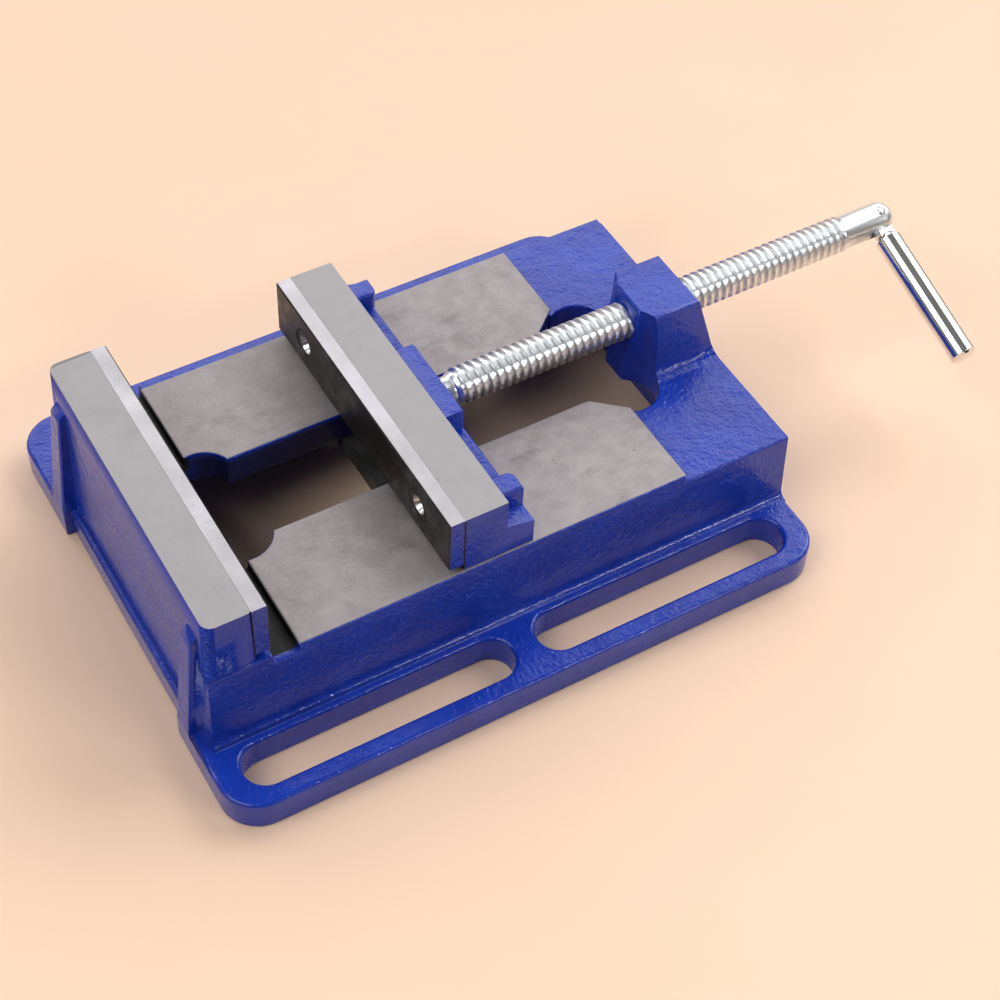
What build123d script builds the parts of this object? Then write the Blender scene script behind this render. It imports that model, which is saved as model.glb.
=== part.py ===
from build123d import *
import math
import os

# Drill-press vise: X runs along the screw from the fixed jaw to the handle, Y across, Z up.
# The origin is the centre of the four flange slots, on the underside of the base. Millimetres.

# ---- base casting ----
BASE_LENGTH = 183.0
FLANGE_WIDTH = 150.0
FLANGE_THK = 10.0
FLANGE_CORNER_R = 11.0
FLANGE_EDGE_R = 1.2
SLOT_WIDTH = 13.3
SLOT_LENGTH = 80.0
SLOT_SPACING_X = 88.0
SLOT_SPACING_Y = 125.7
WAY_WIDTH = 101.4
WAY_HEIGHT = 35.5
WAY_END_X = 57.3
WALL_DRAFT = 4.5
WALL_FOOT_R = 2.5
WALL_THK = 8.5
PAD_STEP = 2.5
LIP_THK = 10.5
GROOVE_DEPTH = 3.0
GROOVE_WIDTH = 7.3
GAP_WIDTH = 28.0
GAP_START = 2.5
SCALLOP_R = 9.0
SCALLOP_X = 9.2
SCALLOP_Y = 11.0
FLARE_X = 48.0
FLARE_HALF = 22.0
FLARE_R = 9.6
FLARE_CENTRE_X = 61.6
FLARE_CENTRE_Y = 12.8
SKIRT_SETBACK = 2.2
SKIRT_HALF = 38.4
SKIRT_EDGE_R = 0.9
SKIRT_FOOT_R = 1.0
SKIRT_RELIEF = 1.6

# ---- fixed jaw ----
JAW_WIDTH = 100.0
JAW_TOP = 56.0
FIXED_FACE_X = -68.0
FIXED_JAW_THK = 17.1
WEB_LEAN = 2.4
WEB_CORNER_R = 3.0
RIB_WIDTH = 5.4
RIB_FOOT_WIDTH = 8.2
RIB_INSET = 5.2
RIB_TOP_DROP = 8.6
RIB_TOP_SLOPE = 2.4
RIB_TOP_DEPTH = 2.2
PLATE_THK = 4.6
PLATE_GAP = 2.4
PLATE_CHAMFER = 0.4

# ---- screw boss on the base ----
BOSS_TOP = 54.2
BOSS_HALF = 10.7
BOSS_FOOT_HALF = 12.7
BOSS_X = 66.2
BOSS_TOP_LENGTH = 19.3
BOSS_FLARE_R = 4.5
BOSS_FRONT_LEAN = 1.7
BOSS_EDGE_R = 1.2

# ---- moving jaw ----
OPENING = 51.0
BLOCK_THK = 12.7
JAW_DEPTH = 24.6
EAR_DEPTH = 25.6
STRIP_TOP = 46.0
CENTRE_BOSS_TOP = 52.5
CENTRE_BOSS_HALF = 14.6
CENTRE_BOSS_LEAN = 0.6
EAR_TOP = 51.5
EAR_INNER = 37.3
EAR_OUTER = 43.9
EAR_CORNER_R = 2.6
EAR_FOOT_TOP = 44.0
EAR_FOOT_RISE = 2.4
JAW_EDGE_R = 1.0
TONGUE_START = 6.8
KEEPER_START = 1.8
KEEPER_WIDTH = 46.0
KEEPER_LENGTH = 22.6
KEEPER_THK = 5.0
KEEPER_BOLT_X = 15.2
KEEPER_BOLT_SPACING = 14.0

# ---- lead screw and handle ----
SCREW_AXIS_Z = 45.6
THREAD_DIA = 10.8
THREAD_PITCH = 2.5
THREAD_DEPTH = 1.15
THREAD_CREST = 0.95
THREAD_ROOT = 1.0
THREAD_START = 30.0
THREAD_LEAD_IN = 2.6
THREAD_LENGTH = 130.0
SCREW_END_DIA = 10.0
SCREW_TIP_R = 4.2
PIVOT_X = 174.2
JOURNAL_DIA = 8.0
JOURNAL_TIP = 9.1
NECK_DIA = 5.4
NECK_WIDTH = 3.4
RETAINER_X = 21.2
RETAINER_DIA = 3.0
RETAINER_LENGTH = 16.0
FORK_SLOT = 4.2
FORK_DEPTH = 5.0
HANDLE_DIA = 8.0
HANDLE_REACH = 50.6
HANDLE_TILT = 17.5
HANDLE_SHOULDER = 5.9
HANDLE_CHAMFER = 0.8
HANDLE_COLLAR = 1.6
PIVOT_PIN_DIA = 3.0
PIVOT_PIN_PROUD = 0.35

# ---- fasteners ----
PLATE_SCREW_DIA = 5.0
PLATE_SCREW_HEAD = 9.4
PLATE_SCREW_LENGTH = 14.0
PLATE_SCREW_SPACING = 65.6
PLATE_SCREW_Z = 46.6
PLATE_SCREW_RECESS = 0.3
PLATE_SCREW_SOCKET = 3.0
PLATE_SCREW_FIT = 0.1
PLATE_SCREW_CONE = 2.3
KEEPER_BOLT_DIA = 6.0
KEEPER_BOLT_HEAD = 10.0
KEEPER_BOLT_HEAD_THK = 4.0
KEEPER_BOLT_LENGTH = 14.0
WASHER_OUTER = 10.6
WASHER_THK = 1.5
WASHER_SPLIT = 1.0

# ---- clearances ----
SLIDE_CLEARANCE = 0.15
GUIDE_CLEARANCE = 0.25
JOURNAL_CLEARANCE = 0.1
THREAD_CLEARANCE = 0.2
PIVOT_CLEARANCE = 0.05
TONGUE_CLEARANCE = 0.2
CUT = 1.0

# ---- worked out from the sizes above ----
BASE_LEFT = -BASE_LENGTH / 2
BASE_RIGHT = BASE_LENGTH / 2
PAD_HEIGHT = WAY_HEIGHT - PAD_STEP
CEILING = WAY_HEIGHT - LIP_THK
WEB_X = FIXED_FACE_X - FIXED_JAW_THK
WEB_FOOT_X = WEB_X - WEB_LEAN
SKIRT_X = BASE_LEFT + SKIRT_SETBACK
WALL_X = FIXED_FACE_X - PLATE_THK
GROOVE_END = FIXED_FACE_X + GROOVE_WIDTH
PLATE_BOTTOM = WAY_HEIGHT + PLATE_GAP
PLATE_HEIGHT = JAW_TOP - PLATE_BOTTOM
MOVING_FACE_X = FIXED_FACE_X + OPENING
BLOCK_FRONT = MOVING_FACE_X + PLATE_THK
BLOCK_REAR = BLOCK_FRONT + BLOCK_THK
JAW_REAR = MOVING_FACE_X + JAW_DEPTH
EAR_REAR = MOVING_FACE_X + EAR_DEPTH
JAW_SOLE = WAY_HEIGHT + SLIDE_CLEARANCE
TONGUE_BOTTOM = CEILING - SLIDE_CLEARANCE
TONGUE_FRONT = MOVING_FACE_X + TONGUE_START
RETAINER_POS_X = MOVING_FACE_X + RETAINER_X
RETAINER_POS_Y = (NECK_DIA + RETAINER_DIA) / 2 + JOURNAL_CLEARANCE
RETAINER_TOP = SCREW_AXIS_Z + RETAINER_LENGTH / 3
THREAD_X = MOVING_FACE_X + THREAD_START
THREAD_END = THREAD_X + THREAD_LENGTH
PIVOT = MOVING_FACE_X + PIVOT_X
EYE_THK = FORK_SLOT - TONGUE_CLEARANCE
KEEPER_BOTTOM = TONGUE_BOTTOM - KEEPER_THK
KEEPER_BOLT_POS_X = MOVING_FACE_X + KEEPER_BOLT_X
TAP_TURNS = math.ceil((BASE_RIGHT - BOSS_X) / THREAD_PITCH) + 2
TAP_LEAD = math.floor((BOSS_X - THREAD_X) / THREAD_PITCH) - 1
TAP_X = THREAD_X + (TAP_LEAD + 0.5) * THREAD_PITCH
WALL_LEAN = math.tan(math.radians(WALL_DRAFT))


def wall_half(height):
    """Half width of the drafted body at a height."""
    return WAY_WIDTH / 2 + (WAY_HEIGHT - height) * WALL_LEAN


def plate_screw_axis(face_x, side, facing):
    """Plane on a plate screw's head, its normal pointing out of the plate."""
    origin = (face_x, side * PLATE_SCREW_SPACING / 2, PLATE_SCREW_Z)
    return Plane(origin=origin, x_dir=(0, 1, 0), z_dir=(facing, 0, 0))


def ridge_outline(growth):
    """Thread ridge about the crest line, grown on every side: X along the screw, Y outwards."""
    foot = (THREAD_PITCH - THREAD_ROOT) / 2 + growth
    crest = THREAD_CREST / 2 + growth
    return (
        (-foot, -THREAD_DEPTH - growth),
        (foot, -THREAD_DEPTH - growth),
        (crest, growth),
        (-crest, growth),
    )


def groove_outline():
    """Groove between two ridges about the crest line, open outwards."""
    root = THREAD_ROOT / 2
    slope = (THREAD_PITCH - THREAD_CREST - THREAD_ROOT) / 2 / THREAD_DEPTH
    mouth = root + slope * (THREAD_DEPTH + THREAD_CLEARANCE)
    return (
        (-root, -THREAD_DEPTH),
        (root, -THREAD_DEPTH),
        (mouth, THREAD_CLEARANCE),
        (-mouth, THREAD_CLEARANCE),
    )


# The handle's own directions: it points along handle_dir, and its pin along pin_dir.
tilt = math.radians(HANDLE_TILT)
handle_dir = (0, -math.cos(tilt), -math.sin(tilt))
pin_dir = (0, -math.sin(tilt), math.cos(tilt))
pivot_point = (PIVOT, 0, SCREW_AXIS_Z)
screw_plane = Plane(origin=(0, 0, SCREW_AXIS_Z), x_dir=(0, 1, 0), z_dir=(1, 0, 0))
fork_plane = Plane(origin=pivot_point, x_dir=(1, 0, 0), z_dir=pin_dir)
rod_plane = Plane(origin=pivot_point, x_dir=(1, 0, 0), z_dir=handle_dir)

# ---- jaw_wall: the fixed jaw's upstanding wall, leaning outwards to its foot, joined to the base ----
with BuildPart() as jaw_wall:
    with BuildSketch(Plane.XZ.offset(-JAW_WIDTH / 2)):
        Polygon(
            (WALL_X, FLANGE_THK - CUT),
            (WALL_X, JAW_TOP),
            (WEB_X, JAW_TOP),
            (WEB_FOOT_X, FLANGE_THK - CUT),
            align=None,
        )
    extrude(amount=JAW_WIDTH)
    fillet(jaw_wall.faces().sort_by(Axis.X)[0].edges().filter_by(Plane.XZ), WEB_CORNER_R)

# ---- skirt: the rounded ledge along the foot of the jaw wall, set back between the ribs ----
with BuildPart() as skirt:
    with BuildSketch(Plane.XZ.offset(-SKIRT_HALF)):
        with BuildLine():
            ledge_x = SKIRT_X + SKIRT_EDGE_R
            Polyline((ledge_x, FLANGE_THK), (WEB_X, FLANGE_THK), (WEB_X, 0), (SKIRT_X, 0))
            Line((SKIRT_X, 0), (SKIRT_X, FLANGE_THK - SKIRT_EDGE_R))
            RadiusArc((SKIRT_X, FLANGE_THK - SKIRT_EDGE_R), (ledge_x, FLANGE_THK), SKIRT_EDGE_R)
        make_face()
        with BuildLine():
            Polyline(
                (WEB_FOOT_X - SKIRT_FOOT_R, FLANGE_THK),
                (WEB_X, FLANGE_THK),
                (WEB_X, FLANGE_THK + SKIRT_FOOT_R),
                (WEB_FOOT_X, FLANGE_THK + SKIRT_FOOT_R),
            )
            RadiusArc(
                (WEB_FOOT_X, FLANGE_THK + SKIRT_FOOT_R), (WEB_FOOT_X - SKIRT_FOOT_R, FLANGE_THK), SKIRT_FOOT_R
            )
        make_face()
    extrude(amount=2 * SKIRT_HALF)

# ---- rib: a tapered fin that stiffens the jaw wall from outside, joined to the base ----
with BuildPart() as rib:
    rib_top = JAW_TOP - RIB_TOP_DROP
    rib_rest_x = WEB_X - WEB_LEAN * RIB_TOP_DROP / (JAW_TOP - FLANGE_THK)
    for height, width in ((0, RIB_FOOT_WIDTH), (rib_top, RIB_WIDTH)):
        with BuildSketch(Plane.XY.offset(height)):
            with Locations(((BASE_LEFT + WALL_X) / 2, JAW_WIDTH / 2 - RIB_INSET - RIB_WIDTH / 2)):
                Rectangle(WALL_X - BASE_LEFT, width)
    loft()
    with BuildSketch(Plane.XZ.offset(-JAW_WIDTH / 2)):
        Polygon(
            (BASE_LEFT - CUT, FLANGE_THK),
            (BASE_LEFT, FLANGE_THK),
            (rib_rest_x - RIB_TOP_DEPTH, rib_top - RIB_TOP_SLOPE),
            (rib_rest_x, rib_top),
            (rib_rest_x, rib_top + CUT),
            (BASE_LEFT - CUT, rib_top + CUT),
            align=None,
        )
    extrude(amount=JAW_WIDTH, mode=Mode.SUBTRACT)

# ---- boss: the drafted lug that the screw runs through, leaning front and back, joined to the base ----
with BuildPart() as boss:
    with BuildSketch(Plane.YZ.offset(BOSS_X)):
        with BuildLine():
            flare_top = PAD_HEIGHT + BOSS_FLARE_R
            flare_foot = BOSS_FOOT_HALF + BOSS_FLARE_R
            Polyline(
                (-flare_foot, PAD_HEIGHT),
                (-flare_foot, CEILING),
                (flare_foot, CEILING),
                (flare_foot, PAD_HEIGHT),
            )
            RadiusArc((flare_foot, PAD_HEIGHT), (BOSS_FOOT_HALF, flare_top), BOSS_FLARE_R)
            Polyline(
                (BOSS_FOOT_HALF, flare_top),
                (BOSS_HALF, BOSS_TOP),
                (-BOSS_HALF, BOSS_TOP),
                (-BOSS_FOOT_HALF, flare_top),
            )
            RadiusArc((-BOSS_FOOT_HALF, flare_top), (-flare_foot, PAD_HEIGHT), BOSS_FLARE_R)
        make_face()
    extrude(amount=BASE_RIGHT - BOSS_X)
    with BuildSketch(Plane.XZ.offset(-FLANGE_WIDTH / 2)):
        Polygon(
            (BASE_RIGHT, PAD_HEIGHT),
            (BASE_RIGHT + CUT, PAD_HEIGHT),
            (BASE_RIGHT + CUT, BOSS_TOP + CUT),
            (BOSS_X + BOSS_TOP_LENGTH, BOSS_TOP + CUT),
            (BOSS_X + BOSS_TOP_LENGTH, BOSS_TOP),
            align=None,
        )
        Polygon(
            (BOSS_X - CUT, PAD_HEIGHT),
            (BOSS_X, PAD_HEIGHT),
            (BOSS_X + BOSS_FRONT_LEAN, BOSS_TOP),
            (BOSS_X + BOSS_FRONT_LEAN, BOSS_TOP + CUT),
            (BOSS_X - CUT, BOSS_TOP + CUT),
            align=None,
        )
    extrude(amount=FLANGE_WIDTH, mode=Mode.SUBTRACT)
    fillet(boss.edges().group_by(Axis.Z)[-1], BOSS_EDGE_R)

# ---- vise_base: iron casting with flange, ways, fixed jaw wall and tapped screw boss ----
with BuildPart() as vise_base:
    with BuildSketch(Plane.XY):
        RectangleRounded(BASE_LENGTH, FLANGE_WIDTH, FLANGE_CORNER_R)
        with GridLocations(SLOT_SPACING_X, SLOT_SPACING_Y, 2, 2):
            SlotOverall(SLOT_LENGTH, SLOT_WIDTH, mode=Mode.SUBTRACT)
    extrude(amount=FLANGE_THK)
    rims = vise_base.edges().filter_by(lambda e: e.center().Z > FLANGE_THK - CUT)
    fillet(rims.filter_by(Plane.XY), FLANGE_EDGE_R)

    # Body: drafted side walls with a rounded foot, up to the ways and, behind them, to the pad.
    foot_top = FLANGE_THK + WALL_FOOT_R
    foot_half = wall_half(FLANGE_THK) + WALL_FOOT_R
    for start, end, top in ((WEB_FOOT_X, WAY_END_X, WAY_HEIGHT), (WAY_END_X, BASE_RIGHT, PAD_HEIGHT)):
        with BuildSketch(Plane.YZ.offset(start)):
            with BuildLine():
                Polyline((-foot_half, FLANGE_THK), (-foot_half, 0), (foot_half, 0), (foot_half, FLANGE_THK))
                RadiusArc((foot_half, FLANGE_THK), (wall_half(foot_top), foot_top), WALL_FOOT_R)
                Polyline(
                    (wall_half(foot_top), foot_top),
                    (wall_half(top), top),
                    (-wall_half(top), top),
                    (-wall_half(foot_top), foot_top),
                )
                RadiusArc((-wall_half(foot_top), foot_top), (-foot_half, FLANGE_THK), WALL_FOOT_R)
            make_face()
        extrude(amount=end - start)

    # The body's end leans with the jaw wall.
    with BuildSketch(Plane.XZ.offset(-FLANGE_WIDTH / 2)):
        Polygon(
            (BASE_LEFT - CUT, FLANGE_THK),
            (WEB_FOOT_X, FLANGE_THK),
            (WEB_X, JAW_TOP),
            (BASE_LEFT - CUT, JAW_TOP),
            align=None,
        )
    extrude(amount=FLANGE_WIDTH, mode=Mode.SUBTRACT)

    # Fixed jaw wall, the skirt under it in a recess of the flange, and the two ribs.
    with BuildSketch(Plane.XY):
        with Locations(((BASE_LEFT + WEB_X) / 2, 0)):
            Rectangle(WEB_X - BASE_LEFT, 2 * SKIRT_HALF)
    extrude(amount=FLANGE_THK + CUT, mode=Mode.SUBTRACT)
    add(jaw_wall.part)
    add(skirt.part)
    add(rib.part)
    add(rib.part.mirror(Plane.XZ))

    # Screw boss.
    add(boss.part)

    # Hollow underside, then the gap between the ways with its flared ends.
    with BuildSketch(Plane.XY):
        with Locations(((WEB_X + BASE_RIGHT) / 2, 0)):
            Rectangle(BASE_RIGHT - WEB_X - 2 * WALL_THK, WAY_WIDTH - 2 * WALL_THK)
        fillet(vertices(), WALL_THK / 2)
    extrude(amount=CEILING, mode=Mode.SUBTRACT)
    with BuildSketch(Plane.XY):
        gap_start = FIXED_FACE_X + GAP_START
        with Locations(((gap_start + BOSS_X) / 2, 0)):
            Rectangle(BOSS_X - gap_start, GAP_WIDTH)
        for side in (-1, 1):
            with Locations((FIXED_FACE_X + SCALLOP_X, side * SCALLOP_Y)):
                Circle(SCALLOP_R)
            with Locations((FLARE_CENTRE_X, side * FLARE_CENTRE_Y)):
                Circle(FLARE_R)
            Polygon(
                (FLARE_X, side * GAP_WIDTH / 2),
                (WAY_END_X, side * FLARE_HALF),
                (WAY_END_X, side * GAP_WIDTH / 2),
                align=None,
            )
    extrude(amount=JAW_TOP, mode=Mode.SUBTRACT)
    # Relief groove at the foot of the fixed jaw.
    with BuildSketch(Plane.XY.offset(WAY_HEIGHT - GROOVE_DEPTH)):
        with Locations(((FIXED_FACE_X + GROOVE_END) / 2, 0)):
            Rectangle(GROOVE_WIDTH, 2 * wall_half(0))
    extrude(amount=GROOVE_DEPTH + CUT, mode=Mode.SUBTRACT)
    # The skirt clears the table between its two feet.
    with BuildSketch(Plane.XY):
        with Locations((BASE_LEFT, 0)):
            Rectangle(2 * (WEB_X - BASE_LEFT + WALL_THK + CUT), 2 * SKIRT_HALF)
    extrude(amount=SKIRT_RELIEF, mode=Mode.SUBTRACT)
    # Tapped holes for the plate screws.
    for side in (-1, 1):
        with BuildSketch(plate_screw_axis(WALL_X, side, 1)):
            Circle(PLATE_SCREW_DIA / 2)
        extrude(amount=-(PLATE_SCREW_LENGTH - PLATE_THK + CUT), mode=Mode.SUBTRACT)
    # Bore through the screw boss, and the internal thread that the lead screw runs in.
    with BuildSketch(screw_plane.offset(BOSS_X - CUT)):
        Circle(THREAD_DIA / 2 - THREAD_DEPTH + THREAD_CLEARANCE)
    extrude(amount=BASE_RIGHT - BOSS_X + 2 * CUT, mode=Mode.SUBTRACT)
    with BuildLine():
        tap_path = Helix(
            pitch=THREAD_PITCH,
            height=TAP_TURNS * THREAD_PITCH,
            radius=THREAD_DIA / 2,
            center=(TAP_X, 0, SCREW_AXIS_Z),
            direction=(1, 0, 0),
        )
    with BuildSketch(Plane(origin=tap_path @ 0, x_dir=(1, 0, 0), z_dir=tap_path % 0)):
        Polygon(*ridge_outline(THREAD_CLEARANCE), align=None)
    sweep(path=tap_path, is_frenet=True, mode=Mode.SUBTRACT)

# ---- jaw plates: ground steel strips, each held by two countersunk screws ----
jaw_plates = {}
for name, face_x, facing in (
    ("fixed_jaw_plate", FIXED_FACE_X, 1),
    ("moving_jaw_plate", MOVING_FACE_X, -1),
):
    with BuildPart() as jaw_plate:
        with BuildSketch(Plane.YZ.offset(face_x)):
            with Locations((0, PLATE_BOTTOM + PLATE_HEIGHT / 2)):
                Rectangle(JAW_WIDTH, PLATE_HEIGHT)
        extrude(amount=-facing * PLATE_THK)
        chamfer(jaw_plate.faces().sort_by(Axis.X)[::facing][-1].edges(), PLATE_CHAMFER)
        for side in (-1, 1):
            with Locations(plate_screw_axis(face_x, side, facing)):
                CounterSinkHole(
                    radius=PLATE_SCREW_DIA / 2 + TONGUE_CLEARANCE,
                    counter_sink_radius=PLATE_SCREW_HEAD / 2 + PLATE_SCREW_RECESS,
                    depth=PLATE_THK + CUT,
                )
    jaw_plates[name] = jaw_plate

# ---- plate screws: countersunk, with a hexagon socket ----
plate_screws = {}
for jaw, face_x, facing in (("fixed", FIXED_FACE_X, 1), ("moving", MOVING_FACE_X, -1)):
    for number, side in ((1, -1), (2, 1)):
        head_plane = plate_screw_axis(face_x, side, facing).offset(-PLATE_SCREW_RECESS)
        with BuildPart() as plate_screw:
            with BuildSketch(head_plane):
                Circle(PLATE_SCREW_HEAD / 2 - PLATE_SCREW_FIT)
            with BuildSketch(head_plane.offset(-PLATE_SCREW_CONE)):
                Circle(PLATE_SCREW_DIA / 2)
            loft()
            with BuildSketch(head_plane.offset(-PLATE_SCREW_CONE)):
                Circle(PLATE_SCREW_DIA / 2)
            extrude(amount=-(PLATE_SCREW_LENGTH - PLATE_SCREW_CONE))
            with BuildSketch(head_plane):
                RegularPolygon(PLATE_SCREW_SOCKET / 2, 6, major_radius=False)
            extrude(amount=-PLATE_SCREW_CONE, mode=Mode.SUBTRACT)
        plate_screws[f"{jaw}_plate_screw_{number}"] = plate_screw

# ---- ear: the stepped lug at each end of the moving jaw's back, joined to the jaw ----
with BuildPart() as ear:
    with BuildSketch(Plane.YZ.offset(BLOCK_REAR - CUT)):
        with Locations(((EAR_INNER + EAR_OUTER) / 2, (JAW_SOLE + EAR_TOP) / 2)):
            Rectangle(EAR_OUTER - EAR_INNER, EAR_TOP - JAW_SOLE)
    extrude(amount=EAR_REAR - BLOCK_REAR + CUT)
    fillet(ear.edges().filter_by(Axis.Z).group_by(Axis.X)[-1].sort_by(Axis.Y)[0], EAR_CORNER_R)
    fillet(ear.edges().group_by(Axis.Z)[-1].filter_by(lambda e: e.center().X > BLOCK_REAR), JAW_EDGE_R)
    with BuildSketch(Plane.XZ.offset(-JAW_WIDTH / 2)):
        Polygon(
            (BLOCK_REAR - CUT, JAW_SOLE),
            (EAR_REAR, JAW_SOLE),
            (EAR_REAR, EAR_FOOT_TOP),
            (BLOCK_REAR - CUT, EAR_FOOT_TOP + EAR_FOOT_RISE),
            align=None,
        )
    extrude(amount=JAW_WIDTH / 2 - EAR_OUTER + CUT)

# ---- moving_jaw: casting with a machined block, a stepped back and a guide tongue ----
with BuildPart() as moving_jaw:
    with BuildSketch(Plane.XY.offset(JAW_SOLE)):
        with Locations(((BLOCK_FRONT + BLOCK_REAR) / 2, 0)):
            Rectangle(BLOCK_THK, JAW_WIDTH)
    extrude(amount=JAW_TOP - JAW_SOLE)
    with BuildSketch(Plane.YZ.offset(BLOCK_REAR - CUT)):
        with BuildLine():
            Polyline(
                (-EAR_OUTER, JAW_SOLE),
                (-EAR_OUTER, STRIP_TOP),
                (-CENTRE_BOSS_HALF, STRIP_TOP),
                (-CENTRE_BOSS_HALF + CENTRE_BOSS_LEAN, CENTRE_BOSS_TOP),
                (CENTRE_BOSS_HALF - CENTRE_BOSS_LEAN, CENTRE_BOSS_TOP),
                (CENTRE_BOSS_HALF, STRIP_TOP),
                (EAR_OUTER, STRIP_TOP),
                (EAR_OUTER, JAW_SOLE),
                close=True,
            )
        make_face()
    extrude(amount=JAW_REAR - BLOCK_REAR + CUT)
    back_rim = moving_jaw.edges().filter_by(lambda e: abs(e.center().X - JAW_REAR) < 0.01)
    fillet(back_rim.filter_by(lambda e: e.center().Z > STRIP_TOP - 0.01), JAW_EDGE_R)
    add(ear.part)
    add(ear.part.mirror(Plane.XZ))
    # Tongue: runs down between the ways, and carries the keeper.
    with BuildSketch(Plane.XY.offset(TONGUE_BOTTOM)):
        with Locations(((TONGUE_FRONT + JAW_REAR) / 2, 0)):
            Rectangle(JAW_REAR - TONGUE_FRONT, GAP_WIDTH - 2 * GUIDE_CLEARANCE)
    extrude(amount=JAW_SOLE - TONGUE_BOTTOM + CUT)
    # Blind bore for the screw's journal, from the back.
    with BuildSketch(screw_plane.offset(MOVING_FACE_X + JOURNAL_TIP - SLIDE_CLEARANCE)):
        Circle(JOURNAL_DIA / 2 + JOURNAL_CLEARANCE)
    extrude(amount=JAW_DEPTH, mode=Mode.SUBTRACT)
    # Drilled from below: two holes for the retaining pins, two tapped for the keeper bolts.
    with BuildSketch(Plane.XY.offset(TONGUE_BOTTOM)):
        with Locations((RETAINER_POS_X, 0)):
            with GridLocations(0, 2 * RETAINER_POS_Y, 1, 2):
                Circle(RETAINER_DIA / 2)
    extrude(amount=RETAINER_TOP - TONGUE_BOTTOM, mode=Mode.SUBTRACT)
    with BuildSketch(Plane.XY.offset(TONGUE_BOTTOM)):
        with Locations((KEEPER_BOLT_POS_X, 0)):
            with GridLocations(0, KEEPER_BOLT_SPACING, 1, 2):
                Circle(KEEPER_BOLT_DIA / 2)
    extrude(amount=KEEPER_BOLT_LENGTH - KEEPER_THK - WASHER_THK + CUT, mode=Mode.SUBTRACT)
    for side in (-1, 1):
        with BuildSketch(plate_screw_axis(BLOCK_FRONT, side, -1)):
            Circle(PLATE_SCREW_DIA / 2)
        extrude(amount=-(PLATE_SCREW_LENGTH - PLATE_THK + CUT), mode=Mode.SUBTRACT)

# ---- keeper_plate: bolted under the tongue, it hooks below both way lips ----
with BuildPart() as keeper_plate:
    with BuildSketch(Plane.XY.offset(TONGUE_BOTTOM)):
        with Locations((MOVING_FACE_X + KEEPER_START + KEEPER_LENGTH / 2, 0)):
            Rectangle(KEEPER_LENGTH, KEEPER_WIDTH)
        with Locations((KEEPER_BOLT_POS_X, 0)):
            with GridLocations(0, KEEPER_BOLT_SPACING, 1, 2):
                Circle(KEEPER_BOLT_DIA / 2 + TONGUE_CLEARANCE, mode=Mode.SUBTRACT)
    extrude(amount=-KEEPER_THK)
    chamfer(keeper_plate.edges().group_by(Axis.Z)[0].filter_by(GeomType.LINE), PLATE_CHAMFER)

# ---- keeper bolts and their spring washers, screwed up into the tongue ----
keeper_bolts = {}
for number, side in ((1, -1), (2, 1)):
    bolt_centre = (KEEPER_BOLT_POS_X, side * KEEPER_BOLT_SPACING / 2)
    with BuildPart() as keeper_washer:
        with BuildSketch(Plane.XY.offset(KEEPER_BOTTOM)):
            with Locations(bolt_centre):
                Circle(WASHER_OUTER / 2)
                Circle(KEEPER_BOLT_DIA / 2 + TONGUE_CLEARANCE, mode=Mode.SUBTRACT)
            with Locations((bolt_centre[0] + WASHER_OUTER / 2, bolt_centre[1])):
                Rectangle(WASHER_OUTER, WASHER_SPLIT, mode=Mode.SUBTRACT)
        extrude(amount=-WASHER_THK)
    with BuildPart() as keeper_bolt:
        with BuildSketch(Plane.XY.offset(KEEPER_BOTTOM - WASHER_THK)):
            with Locations(bolt_centre):
                RegularPolygon(KEEPER_BOLT_HEAD / 2, 6, major_radius=False)
        extrude(amount=-KEEPER_BOLT_HEAD_THK)
        chamfer(keeper_bolt.edges().group_by(Axis.Z)[0], PLATE_CHAMFER)
        with BuildSketch(Plane.XY.offset(KEEPER_BOTTOM - WASHER_THK)):
            with Locations(bolt_centre):
                Circle(KEEPER_BOLT_DIA / 2)
        extrude(amount=KEEPER_BOLT_LENGTH)
    keeper_bolts[f"keeper_washer_{number}"] = keeper_washer
    keeper_bolts[f"keeper_bolt_{number}"] = keeper_bolt

# ---- retaining pins: driven up beside the screw's neck, they keep the screw in the jaw ----
retaining_pins = {}
for number, side in ((1, -1), (2, 1)):
    with BuildPart() as retaining_pin:
        with BuildSketch(Plane.XY.offset(RETAINER_TOP)):
            with Locations((RETAINER_POS_X, side * RETAINER_POS_Y)):
                Circle(RETAINER_DIA / 2)
        extrude(amount=-RETAINER_LENGTH)
    retaining_pins[f"retaining_pin_{number}"] = retaining_pin

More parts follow.
